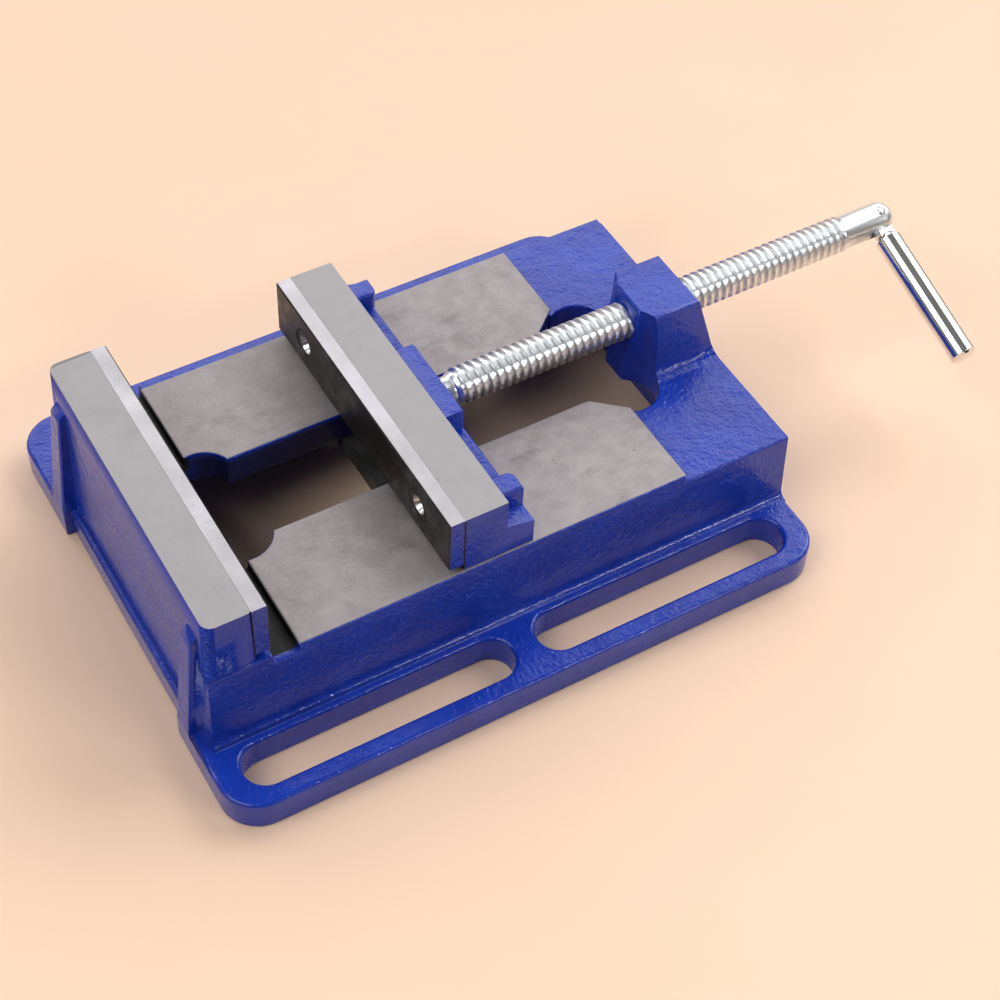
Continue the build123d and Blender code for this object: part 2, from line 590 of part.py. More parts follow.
# ---- lead_screw: journal and neck, thread, and a plain end slotted for the handle ----
with BuildPart() as lead_screw:
    journal_x = MOVING_FACE_X + JOURNAL_TIP
    with BuildSketch(Plane.XZ):
        with BuildLine():
            Polyline(
                (journal_x, SCREW_AXIS_Z),
                (journal_x, SCREW_AXIS_Z + JOURNAL_DIA / 2 - PLATE_CHAMFER),
                (journal_x + PLATE_CHAMFER, SCREW_AXIS_Z + JOURNAL_DIA / 2),
                (RETAINER_POS_X - NECK_WIDTH / 2, SCREW_AXIS_Z + JOURNAL_DIA / 2),
                (RETAINER_POS_X - NECK_WIDTH / 2, SCREW_AXIS_Z + NECK_DIA / 2),
                (RETAINER_POS_X + NECK_WIDTH / 2, SCREW_AXIS_Z + NECK_DIA / 2),
                (RETAINER_POS_X + NECK_WIDTH / 2, SCREW_AXIS_Z + JOURNAL_DIA / 2),
                (THREAD_X - THREAD_LEAD_IN, SCREW_AXIS_Z + JOURNAL_DIA / 2),
                (THREAD_X, SCREW_AXIS_Z + THREAD_DIA / 2),
                (THREAD_END, SCREW_AXIS_Z + THREAD_DIA / 2),
                (THREAD_END + THREAD_DEPTH, SCREW_AXIS_Z + SCREW_END_DIA / 2),
                (PIVOT + SCREW_END_DIA / 2, SCREW_AXIS_Z + SCREW_END_DIA / 2),
                (PIVOT + SCREW_END_DIA / 2, SCREW_AXIS_Z),
                close=True,
            )
        make_face()
    revolve(axis=Axis((0, 0, SCREW_AXIS_Z), (1, 0, 0)))
    fillet(lead_screw.edges().group_by(Axis.X)[-1], SCREW_TIP_R)
    # Slot and pin hole of the fork.
    with BuildSketch(fork_plane.offset(-FORK_SLOT / 2)):
        with Locations(((SCREW_END_DIA - FORK_DEPTH) / 2, 0)):
            Rectangle(SCREW_END_DIA + FORK_DEPTH, 2 * SCREW_END_DIA)
    extrude(amount=FORK_SLOT, mode=Mode.SUBTRACT)
    with BuildSketch(fork_plane.offset(-SCREW_END_DIA)):
        Circle(PIVOT_PIN_DIA / 2)
    extrude(amount=2 * SCREW_END_DIA, mode=Mode.SUBTRACT)
    # Single-start right-hand thread, cut as a groove that runs out at both ends.
    with BuildLine():
        thread_path = Helix(
            pitch=THREAD_PITCH,
            height=THREAD_LENGTH + THREAD_PITCH,
            radius=THREAD_DIA / 2,
            center=(THREAD_X - THREAD_PITCH, 0, SCREW_AXIS_Z),
            direction=(1, 0, 0),
        )
    with BuildSketch(Plane(origin=thread_path @ 0, x_dir=(1, 0, 0), z_dir=thread_path % 0)):
        Polygon(*groove_outline(), align=None)
    sweep(path=thread_path, is_frenet=True, mode=Mode.SUBTRACT)

# ---- handle_pin: riveted through the fork, domed where it stands proud ----
with BuildPart() as handle_pin:
    pin_half = SCREW_END_DIA / 2 + PIVOT_PIN_PROUD
    with BuildSketch(fork_plane.offset(-pin_half)):
        Circle(PIVOT_PIN_DIA / 2)
    extrude(amount=2 * pin_half)
    fillet(handle_pin.edges().filter_by(GeomType.CIRCLE), 2 * PIVOT_PIN_PROUD)

# ---- handle_rod: round bar with a flat eye that turns on the pin ----
with BuildPart() as handle_rod:
    with BuildSketch(rod_plane.offset(HANDLE_SHOULDER)):
        Circle(HANDLE_DIA / 2)
    extrude(amount=HANDLE_REACH - HANDLE_SHOULDER)
    rod_ends = handle_rod.edges().filter_by(GeomType.CIRCLE).sort_by(Axis(pivot_point, handle_dir))
    chamfer(rod_ends[0], HANDLE_COLLAR)
    chamfer(rod_ends[-1], HANDLE_CHAMFER)
    with BuildSketch(fork_plane.offset(-EYE_THK / 2)):
        Circle(HANDLE_DIA / 2)
        with Locations((0, -HANDLE_SHOULDER / 2 - CUT / 2)):
            Rectangle(HANDLE_DIA - 2 * HANDLE_COLLAR, HANDLE_SHOULDER + CUT)
        Circle(PIVOT_PIN_DIA / 2 + PIVOT_CLEARANCE, mode=Mode.SUBTRACT)
    extrude(amount=EYE_THK)

# ---- export: one file for each piece ----
nodes = {
    "vise_base": vise_base,
    **jaw_plates,
    **plate_screws,
    "moving_jaw": moving_jaw,
    "keeper_plate": keeper_plate,
    **keeper_bolts,
    **retaining_pins,
    "lead_screw": lead_screw,
    "handle_pin": handle_pin,
    "handle_rod": handle_rod,
}
os.makedirs("parts", exist_ok=True)
for name, piece in nodes.items():
    piece.part.label = name
    export_step(piece.part, f"parts/{name}.step")
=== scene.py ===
import math

import bmesh
import bpy
from mathutils import Matrix, Vector


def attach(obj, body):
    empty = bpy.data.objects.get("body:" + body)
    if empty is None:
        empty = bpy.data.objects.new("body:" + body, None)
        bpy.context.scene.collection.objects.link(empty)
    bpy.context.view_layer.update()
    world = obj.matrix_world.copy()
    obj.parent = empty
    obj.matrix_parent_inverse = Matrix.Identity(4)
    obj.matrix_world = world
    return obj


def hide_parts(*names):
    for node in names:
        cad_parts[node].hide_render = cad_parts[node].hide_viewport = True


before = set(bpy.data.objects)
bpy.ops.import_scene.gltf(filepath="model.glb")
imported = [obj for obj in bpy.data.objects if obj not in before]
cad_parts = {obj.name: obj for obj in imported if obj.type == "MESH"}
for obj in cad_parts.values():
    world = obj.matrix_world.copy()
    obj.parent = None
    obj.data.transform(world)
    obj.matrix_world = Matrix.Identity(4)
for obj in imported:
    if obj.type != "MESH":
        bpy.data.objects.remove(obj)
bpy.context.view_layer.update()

# ---------------------------------------------------------------------------------------------
# Base casting: grey iron, enamelled royal blue over its sand-cast skin. The ways and the top of
# the fixed jaw are milled bare after painting, so their edges stay crisp against the paint.
# ---------------------------------------------------------------------------------------------
WELD = 2e-6
FLAT_ANGLE = math.radians(0.6)
WAY_LEVEL = 0.0355
JAW_LEVEL = 0.056
LEVEL_SLACK = 0.0001
FACING_UP = 0.99
# The ways are left painted along their far edge and beside the groove.
PAINTED_EDGE_Y = 0.0488
GROOVE_END_X = -0.0607
CAST_EDGE = 0.0006
CAST_ANGLE = math.radians(40)
SHORT_EDGE = 0.0008
# The screw's tapped hole, and the holes for the fixed plate's screws.
BASE_BORES = (
    ((0.0600, -0.0070, 0.0385), (0.0880, 0.0070, 0.0527)),
    ((-0.0860, -0.0360, 0.0440), (-0.0720, 0.0360, 0.0495)),
)
# Where the enamel is darkened: each place's low and high corner, how softly it ends and how dark it
# is.
# The groove and the gap between the ways get painted shade; the joint behind each jaw plate is a dark
# joint line.
SHADE_AND_JOINT_PLACES = (
    ((-0.0740, -0.0492, 0.0300), (-0.0590, 0.0492, 0.0354), 0.0004, 1.0),
    ((-0.0620, -0.0215, -0.0010), (0.0640, 0.0215, 0.0352), 0.0020, 0.8),
    ((-0.0730, -0.0520, 0.0370), (-0.0722, 0.0520, 0.0555), 0.0002, 0.8),
    ((-0.0128, -0.0520, 0.0360), (-0.0120, 0.0520, 0.0555), 0.0002, 1.0),
)
PAINT_BLUE = (0.009, 0.042, 0.41, 1)
PAINT_DEEP = (0.006, 0.028, 0.32, 1)
PAINT_SPECK = (0.05, 0.09, 0.55, 1)
# Near-black painted shade for the groove and the gap between the ways, and the dark of the plate
# joints.
SHADE_AND_JOINT_DARK = (0.006, 0.005, 0.006, 1)
IRON_GREY = (0.34, 0.30, 0.312, 1)
IRON_DULL = (0.25, 0.222, 0.23, 1)
IRON_GRAIN = (0.40, 0.37, 0.38, 1)
IRON_PALE = (0.46, 0.42, 0.415, 1)
IRON_SCRATCH = (0.12, 0.11, 0.115, 1)
TOP_GREY = (0.355, 0.345, 0.36, 1)
OIL_STAIN = (0.09, 0.075, 0.075, 1)
# A Mix node names its sockets alike for every kind of value, so its colours go by number.
MIX_FACTOR, MIX_FIRST, MIX_SECOND, MIX_RESULT = 0, 6, 7, 2


def sound_copy(node, name, painted_edge=None, curved=False):
    """A welded copy of a CAD node's mesh as a new object.

    Its flat faces are made whole again, unless it is curved all over. A painted edge cuts the faces
    that cross it, so that paint can end there.
    """
    shape = bmesh.new()
    shape.from_mesh(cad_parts[node].data)
    bmesh.ops.remove_doubles(shape, verts=shape.verts, dist=WELD)
    if not curved:
        bmesh.ops.dissolve_limit(shape, angle_limit=FLAT_ANGLE, verts=shape.verts, edges=shape.edges)
    if painted_edge:
        bmesh.ops.bisect_plane(
            shape,
            geom=list(shape.verts) + list(shape.edges) + list(shape.faces),
            plane_co=(0, painted_edge, 0),
            plane_no=(0, 1, 0),
        )
    return as_object(shape, name)


def as_object(shape, name):
    """Turns a finished bmesh into an object of the scene."""
    mesh = bpy.data.meshes.new(name)
    shape.to_mesh(mesh)
    shape.free()
    piece = bpy.data.objects.new(name, mesh)
    bpy.context.scene.collection.objects.link(piece)
    return piece


def smooth(piece, angle=32):
    """Shades a piece smooth, but for its edges sharper than an angle."""
    for face in piece.data.polygons:
        face.use_smooth = True
    piece.data.set_sharp_from_angle(angle=math.radians(angle))


def soften(piece, width, angle=32, segments=3):
    """Rounds a piece's sharp edges and shades it smooth between them."""
    smooth(piece, angle)
    bevel = piece.modifiers.new("Edges", "BEVEL")
    bevel.width = width
    bevel.segments = segments
    bevel.limit_method = "ANGLE"
    bevel.angle_limit = math.radians(angle)
    bevel.harden_normals = True


def round_casting(piece, width, bores):
    """Rounds a casting's sharp edges, but for those in its bores or next to a very short one."""
    shape = bmesh.new()
    shape.from_mesh(piece.data)
    weights = shape.edges.layers.float.new("bevel_weight_edge")
    for edge in shape.edges:
        middle = (edge.verts[0].co + edge.verts[1].co) / 2
        meeting = [other for corner in edge.verts for other in corner.link_edges]
        near_short = any(other.calc_length() < SHORT_EDGE for other in meeting)
        in_bore = any(all(low[i] < middle[i] < high[i] for i in range(3)) for low, high in bores)
        if edge.is_manifold and edge.calc_face_angle() > CAST_ANGLE and not in_bore and not near_short:
            edge[weights] = 1.0
    shape.to_mesh(piece.data)
    shape.free()
    smooth(piece)
    bevel = piece.modifiers.new("Edges", "BEVEL")
    bevel.width = width
    bevel.segments = 3
    bevel.limit_method = "WEIGHT"
    bevel.use_clamp_overlap = False
    flats = piece.modifiers.new("Flats", "WEIGHTED_NORMAL")
    flats.keep_sharp = True
    flats.weight = 100


def fit(piece, body, node):
    """Lets a piece move with its body and stand in for its CAD node, which it hides."""
    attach(piece, body)
    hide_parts(node)


def put(tree, value, socket):
    """Gives a socket a plain value, or joins it to another socket."""
    if isinstance(value, bpy.types.NodeSocket):
        tree.links.new(value, socket)
    else:
        socket.default_value = value


def noise(tree, place, scale, detail=3.0, roughness=0.55):
    """A noise texture's value at a place."""
    texture = tree.nodes.new("ShaderNodeTexNoise")
    put(tree, place, texture.inputs["Vector"])
    put(tree, scale, texture.inputs["Scale"])
    put(tree, detail, texture.inputs["Detail"])
    put(tree, roughness, texture.inputs["Roughness"])
    return texture.outputs["Fac"]


def remap(tree, value, low, high, to_low=0.0, to_high=1.0):
    """Stretches a value from one range to another, clamped."""
    node = tree.nodes.new("ShaderNodeMapRange")
    put(tree, low, node.inputs["From Min"])
    put(tree, high, node.inputs["From Max"])
    put(tree, to_low, node.inputs["To Min"])
    put(tree, to_high, node.inputs["To Max"])
    put(tree, value, node.inputs["Value"])
    return node.outputs["Result"]


def maths(tree, operation, first, second=0.0):
    """One step of arithmetic."""
    node = tree.nodes.new("ShaderNodeMath")
    node.operation = operation
    put(tree, first, node.inputs[0])
    put(tree, second, node.inputs[1])
    return node.outputs[0]


def blend(tree, factor, first, second):
    """Goes from a first colour to a second by a factor."""
    node = tree.nodes.new("ShaderNodeMix")
    node.data_type = "RGBA"
    put(tree, factor, node.inputs[MIX_FACTOR])
    put(tree, first, node.inputs[MIX_FIRST])
    put(tree, second, node.inputs[MIX_SECOND])
    return node.outputs[MIX_RESULT]


def lay_over(tree, under, over, mask, strength):
    """Lays one colour over another where a mask is set, no stronger than asked."""
    return blend(tree, maths(tree, "MULTIPLY", mask, strength), under, over)


def turned_place(tree, place, scale, turn=0.0):
    """A place turned about Z, in degrees, and scaled along its axes."""
    node = tree.nodes.new("ShaderNodeMapping")
    node.inputs["Scale"].default_value = scale
    node.inputs["Rotation"].default_value = (0.0, 0.0, math.radians(turn))
    put(tree, place, node.inputs["Vector"])
    return node.outputs["Vector"]


def new_group(name, sockets, output):
    """An empty group with its input sockets and one output; gives it, and what it reads and fills."""
    group = bpy.data.node_groups.new(name, "ShaderNodeTree")
    group.interface.new_socket("Place", in_out="INPUT", socket_type="NodeSocketVector")
    for socket, value in sockets:
        added = group.interface.new_socket(socket, in_out="INPUT", socket_type="NodeSocketFloat")
        added.default_value = value
    group.interface.new_socket(output, in_out="OUTPUT", socket_type="NodeSocketFloat")
    reads = group.nodes.new("NodeGroupInput").outputs
    return group, reads, group.nodes.new("NodeGroupOutput").inputs[output]


def placed(tree, group, place, **values):
    """Puts a group in a material with its own values."""
    node = tree.nodes.new("ShaderNodeGroup")
    node.node_tree = group
    put(tree, place, node.inputs["Place"])
    for name, value in values.items():
        put(tree, value, node.inputs[name])
    return node.outputs[0]


# Cloudy patches, for smudges, uneven paint and dull plating.
clouds, reads, mask = new_group("Clouds", (("Scale", 50.0), ("Low", 0.35), ("High", 0.65)), "Mask")
billows = noise(clouds, reads["Place"], reads["Scale"], detail=5.0, roughness=0.62)
put(clouds, remap(clouds, billows, reads["Low"], reads["High"]), mask)

# Fine scratches in three directions, from stretched noise cut to thin lines and broken by patches.
# Each direction has its turn in degrees, its stretch and the scale of its patches.
scratches, reads, mask = new_group("Scratches", (("Scale", 60.0), ("Width", 0.012)), "Mask")
lines = 0.0
for turn, stretch, patch_scale in ((12, 26.0, 97.0), (63, 34.0, 126.75), (-48, 30.0, 62.0)):
    stretched = turned_place(scratches, reads["Place"], (1.0, stretch, 1.0), turn)
    strand = noise(scratches, stretched, reads["Scale"], detail=1.0)
    near = maths(scratches, "ABSOLUTE", maths(scratches, "SUBTRACT", strand, 0.5))
    line = maths(scratches, "LESS_THAN", near, reads["Width"])
    gate = remap(scratches, noise(scratches, reads["Place"], patch_scale, detail=2.0), 0.52, 0.66)
    lines = maths(scratches, "MAXIMUM", maths(scratches, "MULTIPLY", line, gate), lines)
put(scratches, lines, mask)


def new_material(name, roughness, metallic=0.0):
    """A material; gives it, its tree, its Principled shader and the object coordinates."""
    material = bpy.data.materials.new(name)
    material.use_nodes = True
    tree = material.node_tree
    shader = tree.nodes["Principled BSDF"]
    shader.inputs["Roughness"].default_value = roughness
    shader.inputs["Metallic"].default_value = metallic
    return material, tree, shader, tree.nodes.new("ShaderNodeTexCoord").outputs["Object"]


def bump(tree, shader, height, distance):
    """Raises a surface by a height of nought to one, times a distance in metres."""
    node = tree.nodes.new("ShaderNodeBump")
    node.inputs["Strength"].default_value = 1.0
    node.inputs["Distance"].default_value = distance
    put(tree, height, node.inputs["Height"])
    put(tree, node.outputs["Normal"], shader.inputs["Normal"])


def inside(tree, place, low, high, fade):
    """A mask of one inside a box, fading to nothing at its faces."""
    axes = tree.nodes.new("ShaderNodeSeparateXYZ")
    put(tree, place, axes.inputs[0])
    whole = 1.0
    for axis in range(3):
        value = axes.outputs[axis]
        past_low = remap(tree, value, low[axis], low[axis] + fade)
        before_high = remap(tree, value, high[axis] - fade, high[axis], to_low=1.0, to_high=0.0)
        whole = maths(tree, "MULTIPLY", past_low, whole)
        whole = maths(tree, "MULTIPLY", before_high, whole)
    return whole


def casting_enamel():
    """Thick glossy enamel over the pebbled sand-cast skin, with painted shade in its recesses and dark
    plate joints.
    """
    material, tree, shader, place = new_material("Casting_enamel", roughness=0.3)
    uneven = placed(tree, clouds, place, Scale=70.0)
    paint = blend(tree, uneven, PAINT_DEEP, PAINT_BLUE)
    speck = placed(tree, clouds, place, Scale=900.0, Low=0.62, High=0.7)
    paint = lay_over(tree, paint, PAINT_SPECK, speck, 0.3)
    # Painted shade darkens the groove and the gap between the ways; the joints behind the jaw plates
    # are dark joint lines.
    shade_and_joints = 0.0
    for low, high, fade, depth in SHADE_AND_JOINT_PLACES:
        place_dark = maths(tree, "MULTIPLY", inside(tree, place, low, high, fade), depth)
        shade_and_joints = maths(tree, "MAXIMUM", place_dark, shade_and_joints)
    put(tree, blend(tree, shade_and_joints, paint, SHADE_AND_JOINT_DARK), shader.inputs["Base Color"])
    gloss = remap(tree, uneven, 0.0, 1.0, to_low=0.21, to_high=0.12)
    gloss = maths(tree, "ADD", gloss, maths(tree, "MULTIPLY", shade_and_joints, 0.5))
    put(tree, gloss, shader.inputs["Roughness"])
    pebble = maths(tree, "MULTIPLY", noise(tree, place, 950.0, detail=2.0, roughness=0.5), 0.7)
    swell = maths(tree, "MULTIPLY", noise(tree, place, 240.0, detail=2.0, roughness=0.5), 0.9)
    bump(tree, shader, maths(tree, "ADD", pebble, swell), distance=0.00028)
    shader.inputs["Specular IOR Level"].default_value = 0.4
    shader.inputs["Coat Weight"].default_value = 0.12
    shader.inputs["Coat Roughness"].default_value = 0.08
    return material


def milled_iron():
    """Bare iron off the cutter: fine feed lines, random scratches, oily smudges and pores."""
    material, tree, shader, place = new_material("Milled_iron", roughness=0.55, metallic=0.4)
    smudge = placed(tree, clouds, place, Scale=34.0, Low=0.36, High=0.72)
    iron = blend(tree, smudge, IRON_DULL, IRON_GREY)
    grain = placed(tree, clouds, place, Scale=1400.0, Low=0.40, High=0.60)
    iron = lay_over(tree, iron, IRON_GRAIN, grain, 0.22)
    wiped = turned_place(tree, place, (1.0, 1.9, 1.0), turn=25)
    stain = placed(tree, clouds, wiped, Scale=47.0, Low=0.54, High=0.74)
    iron = lay_over(tree, iron, OIL_STAIN, stain, 0.6)
    mottle = placed(tree, clouds, place, Scale=190.0, Low=0.40, High=0.66)
    iron = lay_over(tree, iron, IRON_PALE, mottle, 0.35)
    pore = placed(tree, clouds, place, Scale=520.0, Low=0.70, High=0.73)
    iron = lay_over(tree, iron, OIL_STAIN, pore, 0.7)
    scratch = placed(tree, scratches, place, Scale=48.0, Width=0.006)
    iron = lay_over(tree, iron, IRON_SCRATCH, scratch, 0.5)
    level = tree.nodes.new("ShaderNodeSeparateXYZ")
    put(tree, place, level.inputs[0])
    on_top = remap(tree, level.outputs["Z"], WAY_LEVEL + 0.01, JAW_LEVEL - 0.005, to_high=0.75)
    put(tree, blend(tree, on_top, iron, TOP_GREY), shader.inputs["Base Color"])
    put(tree, remap(tree, smudge, 0.0, 1.0, to_low=0.50, to_high=0.64), shader.inputs["Roughness"])
    feed = noise(tree, turned_place(tree, place, (1.0, 18.0, 1.0), turn=4), 170.0, detail=2.0)
    ridges = maths(tree, "MULTIPLY", feed, 0.35)
    height = maths(tree, "SUBTRACT", ridges, maths(tree, "MULTIPLY", scratch, 0.5))
    height = maths(tree, "ADD", height, maths(tree, "MULTIPLY", grain, 0.2))
    bump(tree, shader, height, distance=0.00003)
    return material


def bare_levels(piece, levels):
    """Gives the second material to the milled faces, which face up at these levels."""
    for face in piece.data.polygons:
        at_level = any(abs(face.center.z - level) < LEVEL_SLACK for level in levels)
        on_way = GROOVE_END_X < face.center.x and face.center.y < PAINTED_EDGE_Y
        on_jaw = face.center.z > WAY_LEVEL + LEVEL_SLACK
        if face.normal.z > FACING_UP and at_level and (on_way or on_jaw):
            face.material_index = 1


enamel = casting_enamel()
iron = milled_iron()
base_casting = sound_copy("vise_base", "base_casting", PAINTED_EDGE_Y)
base_casting.data.materials.append(enamel)
base_casting.data.materials.append(iron)
bare_levels(base_casting, (WAY_LEVEL, JAW_LEVEL))
round_casting(base_casting, CAST_EDGE, BASE_BORES)
fit(base_casting, "base", "vise_base")

# ---------------------------------------------------------------------------------------------
# Jaw plates: ground steel strips, blacked on their gripping faces and ground bright along the
# top with the jaw. Their ends were painted over with the castings they are screwed to.
# ---------------------------------------------------------------------------------------------
PLATE_EDGE = 0.00025
PLATE_BRIGHT = (0.47, 0.455, 0.50, 1)
PLATE_DULL = (0.39, 0.375, 0.40, 1)
PLATE_LINES = (0.40, 0.39, 0.42, 1)
PLATE_FACING = 0.9
BLACKING = (0.030, 0.026, 0.025, 1)
BLACKING_WORN = (0.075, 0.068, 0.066, 1)
BLACKING_SCRATCH = (0.2, 0.19, 0.19, 1)


def ground_steel():
    """Surface-ground steel: close parallel lines along the strip, with faint smudges."""
    material, tree, shader, place = new_material("Ground_steel", roughness=0.35, metallic=0.75)
    smudge = placed(tree, clouds, place, Scale=60.0)
    lines = noise(tree, turned_place(tree, place, (60.0, 1.0, 60.0)), 90.0, detail=2.0)
    steel = blend(tree, smudge, PLATE_DULL, PLATE_BRIGHT)
    steel = blend(tree, remap(tree, lines, 0.45, 0.75, to_high=0.3), steel, PLATE_LINES)
    scratch = placed(tree, scratches, place, Scale=80.0, Width=0.008)
    put(tree, lay_over(tree, steel, OIL_STAIN, scratch, 0.4), shader.inputs["Base Color"])
    put(tree, remap(tree, smudge, 0.0, 1.0, to_low=0.42, to_high=0.30), shader.inputs["Roughness"])
    bump(tree, shader, lines, distance=0.000012)
    return material


def blacked_steel(name, dark, worn):
    """Oiled black oxide, rubbed a little lighter in patches and along scratches."""
    material, tree, shader, place = new_material(name, roughness=0.38, metallic=0.6)
    rubbed = placed(tree, clouds, place, Scale=130.0, Low=0.45, High=0.7)
    scratch = placed(tree, scratches, place, Scale=70.0, Width=0.01)
    tone = blend(tree, rubbed, dark, worn)
    put(tree, lay_over(tree, tone, BLACKING_SCRATCH, scratch, 0.3), shader.inputs["Base Color"])
    put(tree, remap(tree, rubbed, 0.0, 1.0, to_low=0.45, to_high=0.3), shader.inputs["Roughness"])
    bump(tree, shader, placed(tree, clouds, place, Scale=700.0), distance=0.00002)
    return material


bright_ground = ground_steel()
blacked = blacked_steel("Blacked_steel", BLACKING, BLACKING_WORN)
for jaw, body in (("fixed", "base"), ("moving", "carriage")):
    plate = sound_copy(f"{jaw}_jaw_plate", f"{jaw}_gripping_plate")
    for finish in (blacked, bright_ground, enamel):
        plate.data.materials.append(finish)
    for face in plate.data.polygons:
        if face.normal.z > PLATE_FACING:
            face.material_index = 1
        elif abs(face.normal.y) > PLATE_FACING:
            face.material_index = 2
    soften(plate, PLATE_EDGE, segments=2)
    fit(plate, body, f"{jaw}_jaw_plate")

# ---------------------------------------------------------------------------------------------
# Plate screws: turned steel, countersunk just below the plates' faces. Their heads are blacked like
# the plates, and the dished drive in the middle is worn bright.
# ---------------------------------------------------------------------------------------------
SCREW_EDGE = 0.00012
POLE_WELD = 1e-6
FIXED_HEAD_X = -0.0683
MOVING_HEAD_X = -0.0167
SCREW_SPREAD = 0.0328
SCREW_HEIGHT = 0.0466
HEAD_RADIUS = 0.0046
DISH_RIM = 0.0028
DISH_FLOOR = 0.0019
DISH_DEPTH = 0.0019
CONE_DEPTH = 0.0023
SHANK_RADIUS = 0.0025
SHANK_END = 0.0137
BRIGHT = (0.80, 0.80, 0.82, 1)
BRIGHT_DULL = (0.55, 0.54, 0.55, 1)


def turned_steel():
    """Bright steel off the lathe, with a little handling haze."""
    material, tree, shader, place = new_material("Turned_steel", roughness=0.25, metallic=1.0)
    haze = placed(tree, clouds, place, Scale=260.0)
    put(tree, blend(tree, haze, BRIGHT_DULL, BRIGHT), shader.inputs["Base Color"])
    put(tree, remap(tree, haze, 0.0, 1.0, to_low=0.36, to_high=0.2), shader.inputs["Roughness"])
    bump(tree, shader, placed(tree, scratches, place, Scale=150.0, Width=0.02), distance=0.00001)
    return material


def turned_bar(shape, outline, steps=64):
    """Spins an outline of (radius, height) points about Z into a closed solid of revolution."""
    corners = [shape.verts.new((radius, 0.0, height)) for radius, height in outline]
    edges = [shape.edges.new(pair) for pair in zip(corners, corners[1:])]
    bmesh.ops.spin(
        shape,
        geom=corners + edges,
        cent=(0, 0, 0),
        axis=(0, 0, 1),
        angle=2 * math.pi,
        steps=steps,
        use_merge=True,
    )
    bmesh.ops.remove_doubles(shape, verts=shape.verts, dist=POLE_WELD)
    bmesh.ops.recalc_face_normals(shape, faces=shape.faces)


bright_turned = turned_steel()
screw_outline = (
    (0, DISH_DEPTH),
    (DISH_FLOOR, DISH_DEPTH),
    (DISH_RIM, 0),
    (HEAD_RADIUS, 0),
    (SHANK_RADIUS, CONE_DEPTH),
    (SHANK_RADIUS, SHANK_END),
    (0, SHANK_END),
)
for jaw, body, head_x, inward in (
    ("fixed", "base", FIXED_HEAD_X, -1),
    ("moving", "carriage", MOVING_HEAD_X, 1),
):
    for number, side in ((1, -1), (2, 1)):
        shape = bmesh.new()
        turned_bar(shape, screw_outline, steps=48)
        head_place = Matrix.Translation((head_x, side * SCREW_SPREAD, SCREW_HEIGHT))
        shape.transform(head_place @ Matrix.Rotation(math.radians(90 * inward), 4, "Y"))
        screw = as_object(shape, f"{jaw}_countersunk_screw_{number}")
        for finish in (bright_turned, blacked):
            screw.data.materials.append(finish)
        for face in screw.data.polygons:
            if abs(face.center.x - head_x) < LEVEL_SLACK:
                face.material_index = 1
        soften(screw, SCREW_EDGE, angle=30, segments=2)
        fit(screw, body, f"{jaw}_plate_screw_{number}")

# ---------------------------------------------------------------------------------------------
# Moving jaw: a second casting in the same enamel, milled bare on top. Its tongue runs down
# between the ways, and its painted back steps down to the screw's socket and an ear at each end.
# ---------------------------------------------------------------------------------------------
JAW_EDGE = 0.0005
moving_casting = sound_copy("moving_jaw", "moving_jaw_casting")
moving_casting.data.materials.append(enamel)
moving_casting.data.materials.append(iron)
bare_levels(moving_casting, (JAW_LEVEL,))
soften(moving_casting, JAW_EDGE)
fit(moving_casting, "carriage", "moving_jaw")

# ---------------------------------------------------------------------------------------------
# Keeper: a sawn steel bar under the tongue, held by two hexagon bolts on spring washers. It
# hooks below the ways. Two dowel pins beside the screw's neck keep the screw in the jaw.
# ---------------------------------------------------------------------------------------------
KEEPER_EDGE = 0.0003
KEEPER_DARK = (0.05, 0.048, 0.045, 1)
KEEPER_WORN = (0.13, 0.125, 0.12, 1)
keeper_black = blacked_steel("Keeper_black", KEEPER_DARK, KEEPER_WORN)
for node, finish, slot in (
    ("keeper_plate", keeper_black, "black_oxide"),
    ("keeper_bolt_1", keeper_black, "black_oxide"),
    ("keeper_bolt_2", keeper_black, "black_oxide"),
    ("keeper_washer_1", keeper_black, "black_oxide"),
    ("keeper_washer_2", keeper_black, "black_oxide"),
    ("retaining_pin_1", bright_turned, "bright_steel"),
    ("retaining_pin_2", bright_turned, "bright_steel"),
):
    piece = sound_copy(node, f"{node}_finished")
    piece.data.materials.append(finish)
    soften(piece, KEEPER_EDGE, angle=40, segments=2)
    fit(piece, "carriage", node)

# ---------------------------------------------------------------------------------------------
# Lead screw: bright zinc-plated steel, single-start thread with its root and crest left flat,
# running out to a plain end that is forked for the handle.
# ---------------------------------------------------------------------------------------------
ZINC = (0.86, 0.88, 0.90, 1)
ZINC_GREY = (0.66, 0.69, 0.70, 1)
THREAD_ANGLE = 28


def zinc_plate():
    """Bright zinc: cold white metal, a little cloudy."""
    material, tree, shader, place = new_material("Zinc_plate", roughness=0.33, metallic=1.0)
    haze = placed(tree, clouds, place, Scale=220.0, Low=0.3, High=0.62)
    put(tree, blend(tree, haze, ZINC_GREY, ZINC), shader.inputs["Base Color"])
    put(tree, remap(tree, haze, 0.0, 1.0, to_low=0.40, to_high=0.30), shader.inputs["Roughness"])
    bump(tree, shader, noise(tree, place, 500.0, detail=2.0), distance=0.000008)
    return material


zinc = zinc_plate()
threaded_screw = sound_copy("lead_screw", "threaded_screw", curved=True)
threaded_screw.data.materials.append(zinc)
smooth(threaded_screw, THREAD_ANGLE)
fit(threaded_screw, "screw", "lead_screw")

